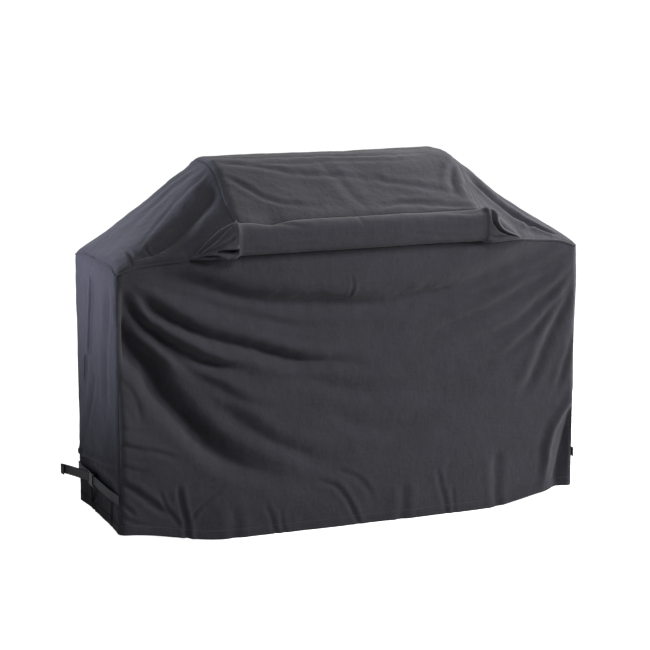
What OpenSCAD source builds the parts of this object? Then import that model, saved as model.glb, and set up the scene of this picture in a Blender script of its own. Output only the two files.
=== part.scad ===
// Fitted fabric cover for a wagon grill: a centre strip of panels that runs from
// the front hem over the hood to the rear hem, a side and a shoulder panel at each
// end, piped seams, folded hems, and a buckled strap across each side.
// Millimetres. X is the width, -Y is the front, Z is up. The origin is the middle
// of the cover, level with the lowest part of the hem.

/* [Shell] */
// Width across the two side shelves
cover_w = 1520; // [1400:10:1600]
// Depth at the side shelves
cover_d = 450; // [430:5:480]
// Height of the shelf edge above the lowest hem
shelf_h = 840; // [800:5:860]
// Height of the crown above the lowest hem
crown_h = 1120; // [1090:1:1140]
// Thickness of the coated cloth
cloth_t = 1; // [0.8:0.1:1.2]

/* [Hood] */
// Width of the hood between the shoulders
hood_w = 830; // [760:10:840]
// Depth of the flat top of the hood
crown_d = 200; // [180:5:220]
// How far the middle of the crown lies behind the cover's middle
crown_back = 50; // [40:5:60]
// Distance of the hood's lowest point at the rear from the cover's middle
rear_reach = 296; // [290:1:310]
// Height of the hood's lower edge at the rear
rear_edge_h = 900; // [880:5:910]

/* [Handle pocket] */
// Distance of the pocket's front from the cover's middle
pocket_reach = 300; // [290:1:310]
// Height of the seam above the pocket
pocket_top_h = 965; // [950:1:975]
// Height of the seam below the pocket
pocket_foot_h = 864; // [860:1:870]
// Distance of the upper seam from the cover's middle
crease_reach = 254; // [250:1:258]
// Width of each gathered gusset at the pocket's ends
gusset_w = 130; // [100:5:140]

/* [Skirt] */
// How far the control panel pushes out the front, below the pocket
front_push = 37; // [30:1:45]
// How far the hem stands out in the middle of the front and rear
hem_flare = 25; // [15:1:30]
// How much higher the hem is at the corners
hem_rise = 40; // [30:1:50]
// Height of the folded hem
hem_h = 30; // [25:1:35]
// Thickness of the folded hem, three layers of cloth
hem_t = 2.4; // [2:0.1:3]

/* [Seams] */
// Radius of the piping in the seams
piping_r = 3.5; // [2.5:0.1:4]
// Radius of the binding on the shelf edges
binding_r = 2; // [1.5:0.1:2.2]

/* [Straps] */
// Width of the webbing
webbing_w = 30; // [25:1:32]
// Thickness of the webbing
webbing_t = 1.5; // [1.2:0.1:1.8]
// Height of the straps' middle above the lowest hem
strap_h = 148; // [140:1:160]
// Distance of the buckle's mouth behind the cover's middle
buckle_y = 60; // [40:1:70]
// Length of the strap's free tail
tail_l = 165; // [140:1:175]
// Angle at which the tail stands out from the side
tail_angle = 15; // [12:1:18]
// How far the strap draws in the side panel
strap_tuck = 6; // [4:1:10]
// How far the side panel hangs over the strap
blouse = 20; // [10:1:24]

/* [Hidden] */

half_w = cover_w / 2;
half_d = cover_d / 2;
hood_x = hood_w / 2;
seam_gap = piping_r + 1;           // from the line of a seam to the cloth on each side
crown_front = crown_back - crown_d / 2;
crown_rear = crown_back + crown_d / 2;
pocket_foot_reach = half_d + front_push;
crown_round = 60;                  // how much of each side of a hood corner its curve takes
pocket_round = 40;
curve_steps = 8;

cloth_colour = "#3d3d42";
hem_colour = "#333338";
piping_colour = "#28282c";
webbing_colour = "#1c1c1f";
plastic_colour = "#161618";

// ---------- curves ----------

function unit(v) = v / norm(v);
function clamp01(t) = min(1, max(0, t));
function ease(t) = let (c = clamp01(t)) c * c * (3 - 2 * c);
function mix(a, b, t) = a * (1 - t) + b * t;

// 1 inside half, fading to 0 over the fade's length
function plateau(d, half, fade) = 1 - ease((abs(d) - half) / fade);

// The points that round the corner b of a path a-b-c, from cut before it to cut after it
function rounded(a, b, c, cut) =
    let (p = b + unit(a - b) * cut, q = b + unit(c - b) * cut)
    [for (i = [0 : curve_steps]) let (t = i / curve_steps)
        p * pow(1 - t, 2) + b * 2 * t * (1 - t) + q * t * t];

// The point at a share of a path's length
function path_length(path, n) = n <= 0 ? 0 : norm(path[n] - path[n - 1]) + path_length(path, n - 1);
function along(path, share, lengths) =
    let (
        want = clamp01(share) * lengths[len(lengths) - 1],
        k = max([for (i = [0 : len(path) - 2]) if (lengths[i] <= want) i]),
        span = lengths[k + 1] - lengths[k]
    )
    mix(path[k], path[k + 1], (want - lengths[k]) / span);
function lengths_of(path) = [for (i = [0 : len(path) - 1]) path_length(path, i)];

// ---------- the cover's outline, as [y, z] seen from the end ----------

hood_path = concat(
    [[-crease_reach, pocket_top_h]],
    rounded([-crease_reach, pocket_top_h], [crown_front, crown_h], [crown_rear, crown_h], crown_round),
    rounded([crown_front, crown_h], [crown_rear, crown_h], [rear_reach, rear_edge_h + 60], crown_round),
    rounded([crown_rear, crown_h], [rear_reach, rear_edge_h + 60], [rear_reach, rear_edge_h], crown_round / 2),
    [[rear_reach, rear_edge_h]]
);
hood_lengths = lengths_of(hood_path);

pocket_path = concat(
    [[-pocket_foot_reach, pocket_foot_h]],
    rounded([-pocket_foot_reach, pocket_foot_h], [-pocket_reach, pocket_foot_h],
            [-pocket_reach, pocket_top_h], pocket_round * 0.75),
    rounded([-pocket_reach, pocket_foot_h], [-pocket_reach, pocket_top_h],
            [-crease_reach, pocket_top_h], pocket_round),
    [[-crease_reach, pocket_top_h]]
);
pocket_lengths = lengths_of(pocket_path);

// ---------- the skirt's surfaces ----------

// How much of the hood's push reaches a place along the width
function under_hood(x) = plateau(x, hood_x, half_w - hood_x);
function hem_z(x) = hem_rise * (1 - plateau(x, 430, half_w - 430));
function flare(x) = hem_flare * plateau(x, 300, half_w - 300);
function front_top(x) = mix(shelf_h, pocket_foot_h, under_hood(x));
function rear_top(x) = mix(shelf_h, rear_edge_h, under_hood(x));

function front_y(x, z) =
    -half_d - front_push * under_hood(x) * ease((z - 640) / 120)
    - flare(x) * (1 - ease((z - hem_rise - hem_h) / 400));
function rear_y(x, z) =
    half_d + (rear_reach - half_d) * under_hood(x) * ease((z - 600) / 280)
    + flare(x) * (1 - ease((z - hem_rise - hem_h) / 400));

// How far the side panel stands out from the plane of the corners
function side_out(y, z) =
    plateau(y, half_d - 110, 100)
    * (blouse * ease((z - strap_h - 20) / 60) * (1 - ease((z - strap_h - 90) / 160))
       - strap_tuck * (1 - ease((z - strap_h - 20) / 40)));

// ---------- the shoulder ----------
// Straight lines from the shelf to the hood, bent near the front and rear to meet their seams

gusset_x = hood_x + gusset_w;
gusset_foot = [gusset_x, front_y(gusset_x, front_top(gusset_x)), front_top(gusset_x)];
crease_end = [hood_x, -crease_reach, pocket_top_h];
foot_share = 0.62;                 // where the shoulder's front edge turns up the gusset
shoulder_sag = 8;
edge_trim = 0.012;                 // share of a shoulder's width and length left clear at its seams

function shelf_edge(t) = [half_w, mix(-half_d, half_d, t), shelf_h];
function hood_edge(t) = let (p = along(hood_path, t, hood_lengths)) [hood_x, p[0], p[1]];
function shoulder_front(s) =
    s < foot_share
    ? let (x = mix(half_w, gusset_x, s / foot_share)) [x, front_y(x, front_top(x)), front_top(x)]
    : mix(gusset_foot, crease_end, (s - foot_share) / (1 - foot_share));
function shoulder_rear(s) =
    let (x = mix(half_w, hood_x, s)) [x, rear_y(x, rear_top(x)), rear_top(x)];
// The cloth is pulled straight from the crown's corners to the shelf's corners, so most
// of the shelf's edge belongs to the lines that start on the crown
function spread(t) =
    let (u = (t - edge_trim) / (1 - 2 * edge_trim))
    mix(edge_trim, 1 - edge_trim, 0.9 * ease((u - 0.22) / 0.56) + 0.1 * u);
function shoulder(s, t) =
    mix(shelf_edge(spread(t)), hood_edge(t), s)
    + (shoulder_front(s) - mix(shelf_edge(0), hood_edge(0), s)) * pow(1 - t, 3)
    + (shoulder_rear(s) - mix(shelf_edge(1), hood_edge(1), s)) * pow(t, 3)
    - [0, 0, shoulder_sag * 16 * s * (1 - s) * t * (1 - t)];

function gusset(s, t) =
    let (p = along(pocket_path, t, pocket_lengths)) mix(gusset_foot, [hood_x, p[0], p[1]], s);

// ---------- cloth ----------

function steps(from, to, n) = [for (i = [0 : n]) mix(from, to, i / n)];

// A closed sheet, thick units thick, behind a grid of points on its outer face.
// Seen from outside, rows run upwards and the points of a row run to the right.
module cloth(grid, thick) {
    rows = len(grid);
    cols = len(grid[0]);
    function face_normal(r, c) =
        let (
            across = grid[r][min(c + 1, cols - 1)] - grid[r][max(c - 1, 0)],
            up = grid[min(r + 1, rows - 1)][c] - grid[max(r - 1, 0)][c]
        )
        unit(cross(across, up));
    outer = [for (r = [0 : rows - 1]) for (c = [0 : cols - 1]) grid[r][c]];
    inner = [for (r = [0 : rows - 1]) for (c = [0 : cols - 1]) grid[r][c] - face_normal(r, c) * thick];
    n = rows * cols;
    function at(r, c) = r * cols + c;
    skin = [for (r = [0 : rows - 2]) for (c = [0 : cols - 2])
        each [[at(r, c), at(r + 1, c), at(r + 1, c + 1)], [at(r, c), at(r + 1, c + 1), at(r, c + 1)]]];
    rim = concat(
        [for (c = [0 : cols - 1]) at(0, c)],
        [for (r = [1 : rows - 1]) at(r, cols - 1)],
        [for (c = [1 : cols - 1]) at(rows - 1, cols - 1 - c)],
        [for (r = [1 : rows - 2]) at(rows - 1 - r, 0)]
    );
    edge = [for (i = [0 : len(rim) - 1]) let (a = rim[i], b = rim[(i + 1) % len(rim)])
        each [[a, b, b + n], [a, b + n, a + n]]];
    polyhedron(
        points = concat(outer, inner),
        faces = concat(skin, [for (f = skin) [f[2] + n, f[1] + n, f[0] + n]], edge),
        convexity = 6
    );
}

// A strip of cloth that follows a [y, z] path across the width
module strip_across(path, width, thick) {
    last = len(path) - 1;
    function side_step(i) =
        let (d = unit(path[min(i + 1, last)] - path[max(i - 1, 0)])) [d[1], -d[0]];
    inner = [for (i = [0 : last]) path[last - i] + side_step(last - i) * thick];
    translate([-width / 2, 0, 0])
        rotate([90, 0, 90])
            linear_extrude(width) polygon(concat(path, inner));
}

// The left half of the cover is the mirror image of the right
module on_left() {
    mirror([1, 0, 0]) children();
}

// The length of path left clear of the seam at each end
function trimmed(path, gap) =
    let (last = len(path) - 1)
    concat(
        [path[0] + unit(path[1] - path[0]) * gap],
        [for (i = [1 : last - 1]) path[i]],
        [path[last] + unit(path[last - 1] - path[last]) * gap]
    );

module hood_panel() {
    color(cloth_colour)
        strip_across(trimmed(hood_path, seam_gap / 2), hood_w - 2 * seam_gap, cloth_t);
}

module handle_pocket() {
    color(cloth_colour)
        strip_across(trimmed(pocket_path, seam_gap / 2), hood_w - 2 * seam_gap, cloth_t);
}

// The gusset narrows to its foot, so its share of the path left clear of the seams grows
module pocket_gusset() {
    length = pocket_lengths[len(pocket_path) - 1];
    function clear(s) = 1.5 * seam_gap / (s * length);
    color(cloth_colour)
        cloth([for (v = steps(0, 1, 14)) [for (s = steps(1 - seam_gap / gusset_w, 0.2, 5))
            gusset(s, mix(clear(s), 1 - clear(s), v))]], cloth_t);
}

module front_panel() {
    edge = half_w - seam_gap;
    color(cloth_colour)
        cloth([for (v = steps(0, 1, 14)) [for (x = steps(-edge, edge, 32))
            let (z = mix(hem_z(x) + hem_h + 0.5, front_top(x) - seam_gap, v)) [x, front_y(x, z), z]]], cloth_t);
}

module rear_panel() {
    edge = half_w - seam_gap;
    color(cloth_colour)
        cloth([for (v = steps(0, 1, 14)) [for (x = steps(edge, -edge, 32))
            let (z = mix(hem_z(x) + hem_h + 0.5, rear_top(x) - seam_gap, v)) [x, rear_y(x, z), z]]], cloth_t);
}

module side_panel() {
    edge = half_d - seam_gap;
    color(cloth_colour)
        cloth([for (z = concat(steps(hem_rise + hem_h + 0.5, 450, 16), steps(500, shelf_h - seam_gap, 3)))
            [for (y = steps(-edge, edge, 14)) [half_w + side_out(y, z), y, z]]], cloth_t);
}

module shoulder_panel() {
    color(cloth_colour)
        cloth([for (s = steps(edge_trim, 1 - edge_trim, 12))
            [for (t = steps(edge_trim, 1 - edge_trim, 18)) shoulder(s, t)]], cloth_t);
}

// ---------- hems ----------

// The hem of the front: a folded strip that follows the flare, cut to the curve of the hem
module front_hem() {
    edge = half_w - seam_gap;
    xs = steps(-edge, edge, 40);
    top = hem_rise + hem_h + 1;
    color(hem_colour)
        intersection() {
            linear_extrude(top)
                polygon(concat(
                    [for (x = xs) [x, -half_d - flare(x)]],
                    [for (i = [0 : 40]) let (x = xs[40 - i]) [x, -half_d - flare(x) + hem_t]]
                ));
            rotate([90, 0, 0])
                linear_extrude(cover_d)
                    polygon(concat(
                        [for (x = xs) [x, hem_z(x)]],
                        [for (i = [0 : 40]) let (x = xs[40 - i]) [x, hem_z(x) + hem_h]]
                    ));
        }
}

module rear_hem() {
    mirror([0, 1, 0]) front_hem();
}

module side_hem() {
    ys = steps(-half_d + seam_gap, half_d - seam_gap, 20);
    color(hem_colour)
        translate([0, 0, hem_rise])
            linear_extrude(hem_h)
                polygon(concat(
                    [for (y = ys) [half_w + side_out(y, hem_rise), y]],
                    [for (i = [0 : 20]) let (y = ys[20 - i]) [half_w + side_out(y, hem_rise) - hem_t, y]]
                ));
}

// ---------- seams ----------

// A round cord along a path. Each ring is square to the path, and turned by the
// direction away from the middle of the cover, which never runs along a seam.
module cord(path, r) {
    sides = 8;
    last = len(path) - 1;
    middle = [0, 0, shelf_h / 2];
    function ring(i) =
        let (
            before = unit(path[i] - path[max(i - 1, 0)] + (i == 0 ? path[1] - path[0] : [0, 0, 0])),
            after = unit(path[min(i + 1, last)] - path[i] + (i == last ? path[last] - path[last - 1] : [0, 0, 0])),
            line = unit(before + after),
            out = path[i] - middle,
            u = unit(out - line * (out * line)),
            v = cross(line, u)
        )
        [for (k = [0 : sides - 1]) path[i] + (u * cos(k * 360 / sides) + v * sin(k * 360 / sides)) * r];
    points = [for (i = [0 : last]) each ring(i)];
    walls = [for (i = [0 : last - 1]) for (k = [0 : sides - 1])
        let (a = i * sides + k, b = i * sides + (k + 1) % sides)
        each [[a, b, b + sides], [a, b + sides, a + sides]]];
    caps = [[for (k = [0 : sides - 1]) sides - 1 - k], [for (k = [0 : sides - 1]) last * sides + k]];
    polyhedron(points = points, faces = [for (f = concat(walls, caps)) [for (k = f) k]], convexity = 8);
}

// The seam between the centre strip and a side: up the front corner, along the
// shelf and the gusset, over the hood, and down to the rear corner
function seam_path() = concat(
    [[half_w, -half_d, hem_rise], [half_w, -half_d, shelf_h / 2]],
    [for (s = steps(0, foot_share, 10)) shoulder_front(s)],
    [for (s = steps(foot_share + 0.08, 0.94, 2)) shoulder_front(s)],
    [for (t = steps(0, 1, 34)) hood_edge(t)],
    [for (s = steps(0.9, 0, 9)) shoulder_rear(s)],
    [[half_w, half_d, shelf_h / 2], [half_w, half_d, hem_rise]]
);

module seam_piping() {
    color(piping_colour) cord(seam_path(), piping_r);
}

module shelf_binding() {
    length = cover_d - 2 * seam_gap - 2;
    color(piping_colour)
        translate([half_w, length / 2, shelf_h - 0.5])
            rotate([90, 0, 0])
                cylinder(r = binding_r, h = length, $fn = 32);
}

// ---------- straps and buckles ----------
// Drawn with x along the strap towards the rear, y across the webbing and z away
// from the side. The origin is the middle of the socket's mouth, on its inner face.

socket_l = 42;
socket_w = webbing_w + 11;
buckle_t = 11;
wall = 2.2;
mouth_l = 12;                      // closed ring at the socket's mouth, behind which the barbs lock
window_l = 13;                     // side openings through which the barbs are pressed
bay_w = socket_w - 2 * 3.6;
bay_depth = mouth_l + window_l + 2;
slot_w = webbing_w + 1.5;
slot_l = 9;
bar_r = 2;
bar_edge = 3.5;                    // from a buckle's end to the middle of its bar
socket_bar_x = -socket_l + bar_edge;
clip_gap = 0.4;
clip_l = 20;
clip_t = 8;
clip_bar_x = clip_gap + clip_l - bar_edge;
mid_z = buckle_t / 2;
tongue_w = 9;
tongue_t = 4;
prong_w = 3.2;
prong_t = 5;
prong_y = bay_w / 2 - prong_w / 2 - 1.2;
prong_l = 24;
barb_l = 5;
barb_out = 3.2;
fit_gap = 0.3;
anchor_gap = 5;                    // from the corner to the sewn end of a strap
tab_l = 15;                        // length of webbing sewn flat to the side panel
turn_r = bar_r + fit_gap;          // inside of the webbing where it turns round a bar
strap_clear = 2.5;                 // from the side's plane to the nearest webbing
anchor_depth = strap_clear + turn_r + webbing_t - fit_gap;   // from the bars in to the sewn ends
socket_x = half_w + strap_clear + turn_r + webbing_t - mid_z;

module place_strap() {
    translate([socket_x, buckle_y, strap_h]) rotate([90, 0, 90]) children();
}

// A flat bar across the strap, level with the middle of the buckle
module slab(x0, x1, width, thick) {
    translate([x0, -width / 2, mid_z - thick / 2]) cube([x1 - x0, width, thick]);
}

module rounded_plate(length, width, thick, r) {
    for (sx = [0, 1], sy = [-1, 1])
        translate([sx ? length - r : r, sy * (width / 2 - r), 0]) cylinder(r = r, h = thick, $fn = 24);
    translate([r, -width / 2, 0]) cube([length - 2 * r, width, thick]);
    translate([0, -width / 2 + r, 0]) cube([length, width - 2 * r, thick]);
}

// A bar for the webbing, round, across the opening of a buckle
module webbing_bar(x) {
    translate([x, -slot_w / 2 - 1, mid_z])
        rotate([-90, 0, 0])
            cylinder(r = bar_r, h = slot_w + 2, $fn = 32);
}

module buckle_socket() {
    color(plastic_colour)
        place_strap() {
            difference() {
                translate([-socket_l, 0, 0]) rounded_plate(socket_l, socket_w, buckle_t, 4);
                slab(-bay_depth, 1, bay_w, buckle_t - 2 * wall);
                slab(-mouth_l - window_l, -mouth_l, socket_w + 2, buckle_t - 2 * wall);
                slab(-socket_l - 1, socket_bar_x + slot_l, slot_w, buckle_t + 2);
            }
            webbing_bar(socket_bar_x);
        }
}

module buckle_clip() {
    color(plastic_colour)
        place_strap() {
            difference() {
                translate([clip_gap, 0, mid_z - clip_t / 2]) rounded_plate(clip_l, socket_w - 1, clip_t, 4);
                slab(clip_bar_x - slot_l, clip_gap + clip_l + 1, slot_w, clip_t + 2);
            }
            webbing_bar(clip_bar_x);
            slab(-bay_depth + 3, clip_gap + 1, tongue_w, tongue_t);
        }
}

// One sprung arm of the clip, with the barb that locks behind the socket's mouth
module prong(side) {
    outer = prong_y + prong_w / 2;
    inner = prong_y - prong_w / 2;
    lock_x = -mouth_l - fit_gap;
    color(plastic_colour)
        place_strap()
            mirror([0, side < 0 ? 1 : 0, 0])
                translate([0, 0, mid_z - prong_t / 2])
                    linear_extrude(prong_t)
                        polygon([
                            [clip_gap - fit_gap, inner],
                            [clip_gap - fit_gap, outer],
                            [lock_x, outer],
                            [lock_x, outer + barb_out],
                            [lock_x - barb_l, outer + barb_out],
                            [-prong_l, outer - 1],
                            [-prong_l, inner]
                        ]);
}

// A circle drawn out along -x
module arch(r, length) {
    circle(r = r, $fn = 48);
    translate([-length, -r]) square([length, 2 * r]);
}

// Turns a drawing in x and -z into webbing that lies across the strap's width
module webbing(x) {
    translate([x, -webbing_w / 2, mid_z]) rotate([-90, 0, 0]) linear_extrude(webbing_w) children();
}

// Webbing that follows a line of points, drawn on its outer face
module band(points) {
    last = len(points) - 1;
    polygon(concat(points, [for (i = [0 : last]) points[last - i] + [0, webbing_t]]));
}

// From the front corner to a loop sewn round the socket's bar
module front_strap() {
    start = -half_d + anchor_gap - buckle_y - socket_bar_x;
    loop_l = 6;
    joined = -loop_l + webbing_t / 2;
    sewn_l = 40;
    slope_l = 60;
    color(webbing_colour)
        place_strap()
            webbing(socket_bar_x) {
                difference() {
                    arch(turn_r + webbing_t, loop_l);
                    arch(turn_r, loop_l - webbing_t);
                }
                translate([joined - sewn_l, -0.1]) square([sewn_l, webbing_t + 0.1]);
                band([
                    [start, anchor_depth - webbing_t],
                    [start + tab_l, anchor_depth - webbing_t],
                    [start + tab_l + slope_l, -webbing_t],
                    [joined, -webbing_t]
                ]);
            }
}

// From the clip's bar to the rear corner
module rear_strap() {
    end = half_d - anchor_gap - buckle_y - clip_bar_x;
    slope_l = 30;
    color(webbing_colour)
        place_strap()
            webbing(clip_bar_x)
                band([
                    [1, turn_r],
                    [end - tab_l - slope_l, turn_r],
                    [end - tab_l, anchor_depth - webbing_t],
                    [end, anchor_depth - webbing_t]
                ]);
}

// The free end of the webbing: it turns round the clip's bar and stands out behind it
module strap_tail() {
    fold_l = 22;
    color(webbing_colour)
        place_strap()
            webbing(clip_bar_x)
                rotate(-tail_angle) {
                    difference() {
                        circle(r = turn_r + webbing_t, $fn = 48);
                        circle(r = turn_r, $fn = 48);
                        translate([0, -turn_r - webbing_t - 1]) square(2 * (turn_r + webbing_t + 1));
                    }
                    translate([-0.5, -turn_r - webbing_t]) square([tail_l, webbing_t]);
                    translate([tail_l - fold_l, -turn_r - 2 * webbing_t]) square([fold_l - 0.5, webbing_t]);
                }
}

hood_panel();
handle_pocket();
pocket_gusset();  // right_pocket_gusset
on_left() pocket_gusset();  // left_pocket_gusset
front_panel();
rear_panel();
side_panel();  // right_side_panel
on_left() side_panel();  // left_side_panel
shoulder_panel();  // right_shoulder_panel
on_left() shoulder_panel();  // left_shoulder_panel
seam_piping();  // right_seam_piping
on_left() seam_piping();  // left_seam_piping
shelf_binding();  // right_shelf_binding
on_left() shelf_binding();  // left_shelf_binding
front_hem();
rear_hem();
side_hem();  // right_hem
on_left() side_hem();  // left_hem
front_strap();  // right_front_strap
on_left() front_strap();  // left_front_strap
rear_strap();  // right_rear_strap
on_left() rear_strap();  // left_rear_strap
strap_tail();  // right_strap_tail
on_left() strap_tail();  // left_strap_tail
buckle_socket();  // right_buckle_socket
on_left() buckle_socket();  // left_buckle_socket
buckle_clip();  // right_buckle_clip
on_left() buckle_clip();  // left_buckle_clip
prong(1);  // right_upper_prong
on_left() prong(1);  // left_upper_prong
prong(-1);  // right_lower_prong
on_left() prong(-1);  // left_lower_prong
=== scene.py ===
import math

import bmesh
import bpy
import numpy as np
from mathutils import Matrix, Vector, noise


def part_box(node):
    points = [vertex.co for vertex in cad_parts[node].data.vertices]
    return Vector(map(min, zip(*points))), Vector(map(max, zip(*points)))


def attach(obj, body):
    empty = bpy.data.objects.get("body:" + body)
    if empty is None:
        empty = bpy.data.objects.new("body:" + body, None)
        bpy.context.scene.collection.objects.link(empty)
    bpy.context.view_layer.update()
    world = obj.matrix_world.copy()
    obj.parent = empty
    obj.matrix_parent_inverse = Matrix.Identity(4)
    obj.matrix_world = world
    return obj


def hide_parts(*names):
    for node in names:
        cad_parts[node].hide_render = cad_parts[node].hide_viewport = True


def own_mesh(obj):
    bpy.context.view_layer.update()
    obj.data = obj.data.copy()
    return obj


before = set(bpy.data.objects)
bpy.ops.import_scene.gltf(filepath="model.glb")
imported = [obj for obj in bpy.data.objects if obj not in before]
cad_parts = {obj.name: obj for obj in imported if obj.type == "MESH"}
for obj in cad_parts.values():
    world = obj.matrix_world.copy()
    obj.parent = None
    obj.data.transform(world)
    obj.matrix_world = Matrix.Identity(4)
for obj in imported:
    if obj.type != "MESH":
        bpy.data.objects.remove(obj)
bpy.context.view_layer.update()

# The studio. A pale floor without edges and a long lens, a little above the
# cover and to its left. Soft lamps stand above, at the right and over the
# front, and a weak bluish one at the left.


def linear(hex_colour):
    """An sRGB hex colour as the linear RGBA that Blender's sockets take."""
    parts = [int(hex_colour[i : i + 2], 16) / 255 for i in (1, 3, 5)]
    return tuple(c / 12.92 if c <= 0.04045 else ((c + 0.055) / 1.055) ** 2.4 for c in parts) + (1.0,)


def put_in_scene(name, data):
    made = bpy.data.objects.new(name, data)
    scene.collection.objects.link(made)
    return made


scene = bpy.context.scene
scene.view_settings.view_transform = "Standard"

view_turn = math.radians(-22.2)
view_rise = math.radians(10.9)
view_distance = 6.37
view_target = Vector((-0.014, 0.0, 0.582))
toward_camera = Vector((
    math.sin(view_turn) * math.cos(view_rise),
    -math.cos(view_turn) * math.cos(view_rise),
    math.sin(view_rise),
))
camera_data = bpy.data.cameras.new("camera")
camera_data.sensor_width = 36
camera_data.lens = 112.2
camera = put_in_scene("camera", camera_data)
camera.location = view_target + view_distance * toward_camera
camera.rotation_euler = (-toward_camera).to_track_quat("-Z", "Y").to_euler()
scene.camera = camera


def add_node(tree, kind, at=(0, 0), settings=(), **links):
    """A node with its settings, and values or sockets on its inputs. These go by name, or as i0, i1..."""
    node = tree.nodes.new("ShaderNode" + kind)
    node.location = at
    for name, value in dict(settings).items():
        setattr(node, name, value)
    for name, value in links.items():
        numbered = name[0] == "i" and name[1:].isdigit()
        socket = node.inputs[int(name[1:]) if numbered else name.replace("_", " ")]
        if isinstance(value, bpy.types.NodeSocket):
            tree.links.new(value, socket)
        else:
            socket.default_value = value
    return node


def new_material(name):
    """An empty material, its node tree and its shader."""
    material = bpy.data.materials.new(name)
    material.use_nodes = True
    return material, material.node_tree, material.node_tree.nodes["Principled BSDF"]


def soft_lamp(name, place, aim, width, height, watts, spread, colour):
    """A rectangular lamp behind a grid that keeps its light within a spread of so many degrees."""
    data = bpy.data.lights.new(name, "AREA")
    data.shape = "RECTANGLE"
    data.size = width
    data.size_y = height
    data.energy = watts
    data.spread = math.radians(spread)
    data.color = linear(colour)[:3]
    lamp = put_in_scene(name, data)
    lamp.location = place
    lamp.rotation_euler = (Vector(aim) - Vector(place)).to_track_quat("-Z", "Y").to_euler()


soft_lamp("top_softbox", (2.2, 0.2, 2.4), (0.35, 0.0, 0.9), 1.2, 0.9, 145, 180, "#ffffff")
soft_lamp("right_softbox", (3.2, -1.8, 1.5), (0.35, 0.0, 0.7), 1.2, 0.9, 182, 180, "#ffffff")
soft_lamp("front_softbox", (0.2, -2.4, 2.8), (0.0, 0.0, 0.7), 1.2, 0.9, 118, 180, "#ffffff")
soft_lamp("left_softbox", (-2.2, 0.7, 0.80), (-0.76, 0.1, 0.90), 0.8, 0.5, 11, 50, "#e4e8ff")

studio = bpy.data.worlds.new("studio")
studio.use_nodes = True
scene.world = studio
world_tree = studio.node_tree
world_tree.nodes.clear()
fill_light = add_node(world_tree, "Background", (0, 0), Color=linear("#f4f6ff"), Strength=0.07)
backdrop_light = add_node(world_tree, "Background", (0, -160), Color=(1, 1, 1, 1), Strength=1.0)
ray = add_node(world_tree, "LightPath", (-220, 160))
sky = add_node(
    world_tree, "MixShader", (240, 0),
    i0=ray.outputs["Is Camera Ray"], i1=fill_light.outputs[0], i2=backdrop_light.outputs[0],
)
add_node(world_tree, "OutputWorld", (460, 0), Surface=sky.outputs[0])

floor_bm = bmesh.new()
bmesh.ops.create_grid(floor_bm, x_segments=1, y_segments=1, size=60)
floor_mesh = bpy.data.meshes.new("floor")
floor_bm.to_mesh(floor_mesh)
floor_bm.free()
floor = put_in_scene("floor", floor_mesh)
floor_paint, floor_tree, floor_shader = new_material("lit_white_floor")
floor_shader.inputs["Base Color"].default_value = linear("#b8b8b8")
floor_shader.inputs["Roughness"].default_value = 0.9
floor_shader.inputs["Emission Color"].default_value = (1, 1, 1, 1)
floor_ray = add_node(floor_tree, "LightPath", (-500, -300))
floor_glow = add_node(
    floor_tree, "MapRange", (-300, -300), i0=floor_ray.outputs["Is Camera Ray"], i3=0.15, i4=1.0,
)
floor_tree.links.new(floor_glow.outputs[0], floor_shader.inputs["Emission Strength"])
floor_mesh.materials.append(floor_paint)

# The front panel. Woven polyester, coated on the inside, cut as one piece from
# corner to corner. It hangs from the shelf edge and the pocket, is pushed out
# by the grill's control panel, and drags in folds from the shelf corners.

# the cover's sizes come from the CAD pieces, so the cloth lies where they do
hood_low, hood_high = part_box("hood_panel")
pocket_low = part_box("handle_pocket")[0]
side_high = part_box("right_side_panel")[1]
binding_low, binding_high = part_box("right_shelf_binding")
hem_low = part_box("front_hem")[0]

seam_gap = 0.0045
seam_reach = 0.022
hem_lap = 0.006
corner_round = 0.022
cloth_thickness = 0.0009
cell = 0.006
panel_rows = 128
half_w = (binding_low[0] + binding_high[0]) / 2
half_d = side_high[1] + seam_gap
shelf_h = (binding_low[2] + binding_high[2]) / 2 + 0.0005
hood_x = hood_high[0] + seam_gap
crown_h = hood_high[2]
rear_reach = hood_high[1]
pocket_reach = -pocket_low[1]
pocket_foot_h = round(pocket_low[2], 3)
rear_edge_h = round(hood_low[2], 2)
hem_rise = 0.040
hem_h = 0.030
hem_low_half = 0.43
flare_half = 0.30
hem_flare = -hem_low[1] - half_d
hang_h = 0.4
front_push = 0.037
gusset_x = hood_x + 0.130
corner_fall = 0.020
corner_fall_reach = 0.045


def ease(t):
    """0 below 0, 1 above 1, and a smooth step between."""
    t = np.clip(t, 0, 1)
    return t * t * (3 - 2 * t)


def mix(a, b, t):
    return a * (1 - t) + b * t


def plateau(distance, half, fade):
    """1 within half, falling smoothly to 0 over the fade's length."""
    return 1 - ease((np.abs(distance) - half) / fade)


def under_hood(x):
    return plateau(x, hood_x, half_w - hood_x)


def hem_z(x):
    return hem_rise * (1 - plateau(x, hem_low_half, half_w - hem_low_half))


def flare(x):
    return hem_flare * plateau(x, flare_half, half_w - flare_half)


def corner_drop(from_corner, deepest):
    """How much lower a top edge is where it rounds off at a corner of the shelf."""
    return deepest * np.exp(-((from_corner / corner_fall_reach) ** 2))


def front_top(x):
    return mix(shelf_h, pocket_foot_h, under_hood(x)) - corner_drop(half_w - np.abs(x), corner_fall)


def points_of(x, y, z):
    return np.stack(np.broadcast_arrays(x, y, z), axis=-1).astype(float)


def turn_of(radius):
    """How much shorter than its half width a panel is, when its end bends 45 degrees to meet the next one."""
    return radius * (1 - math.pi / 4)


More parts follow.
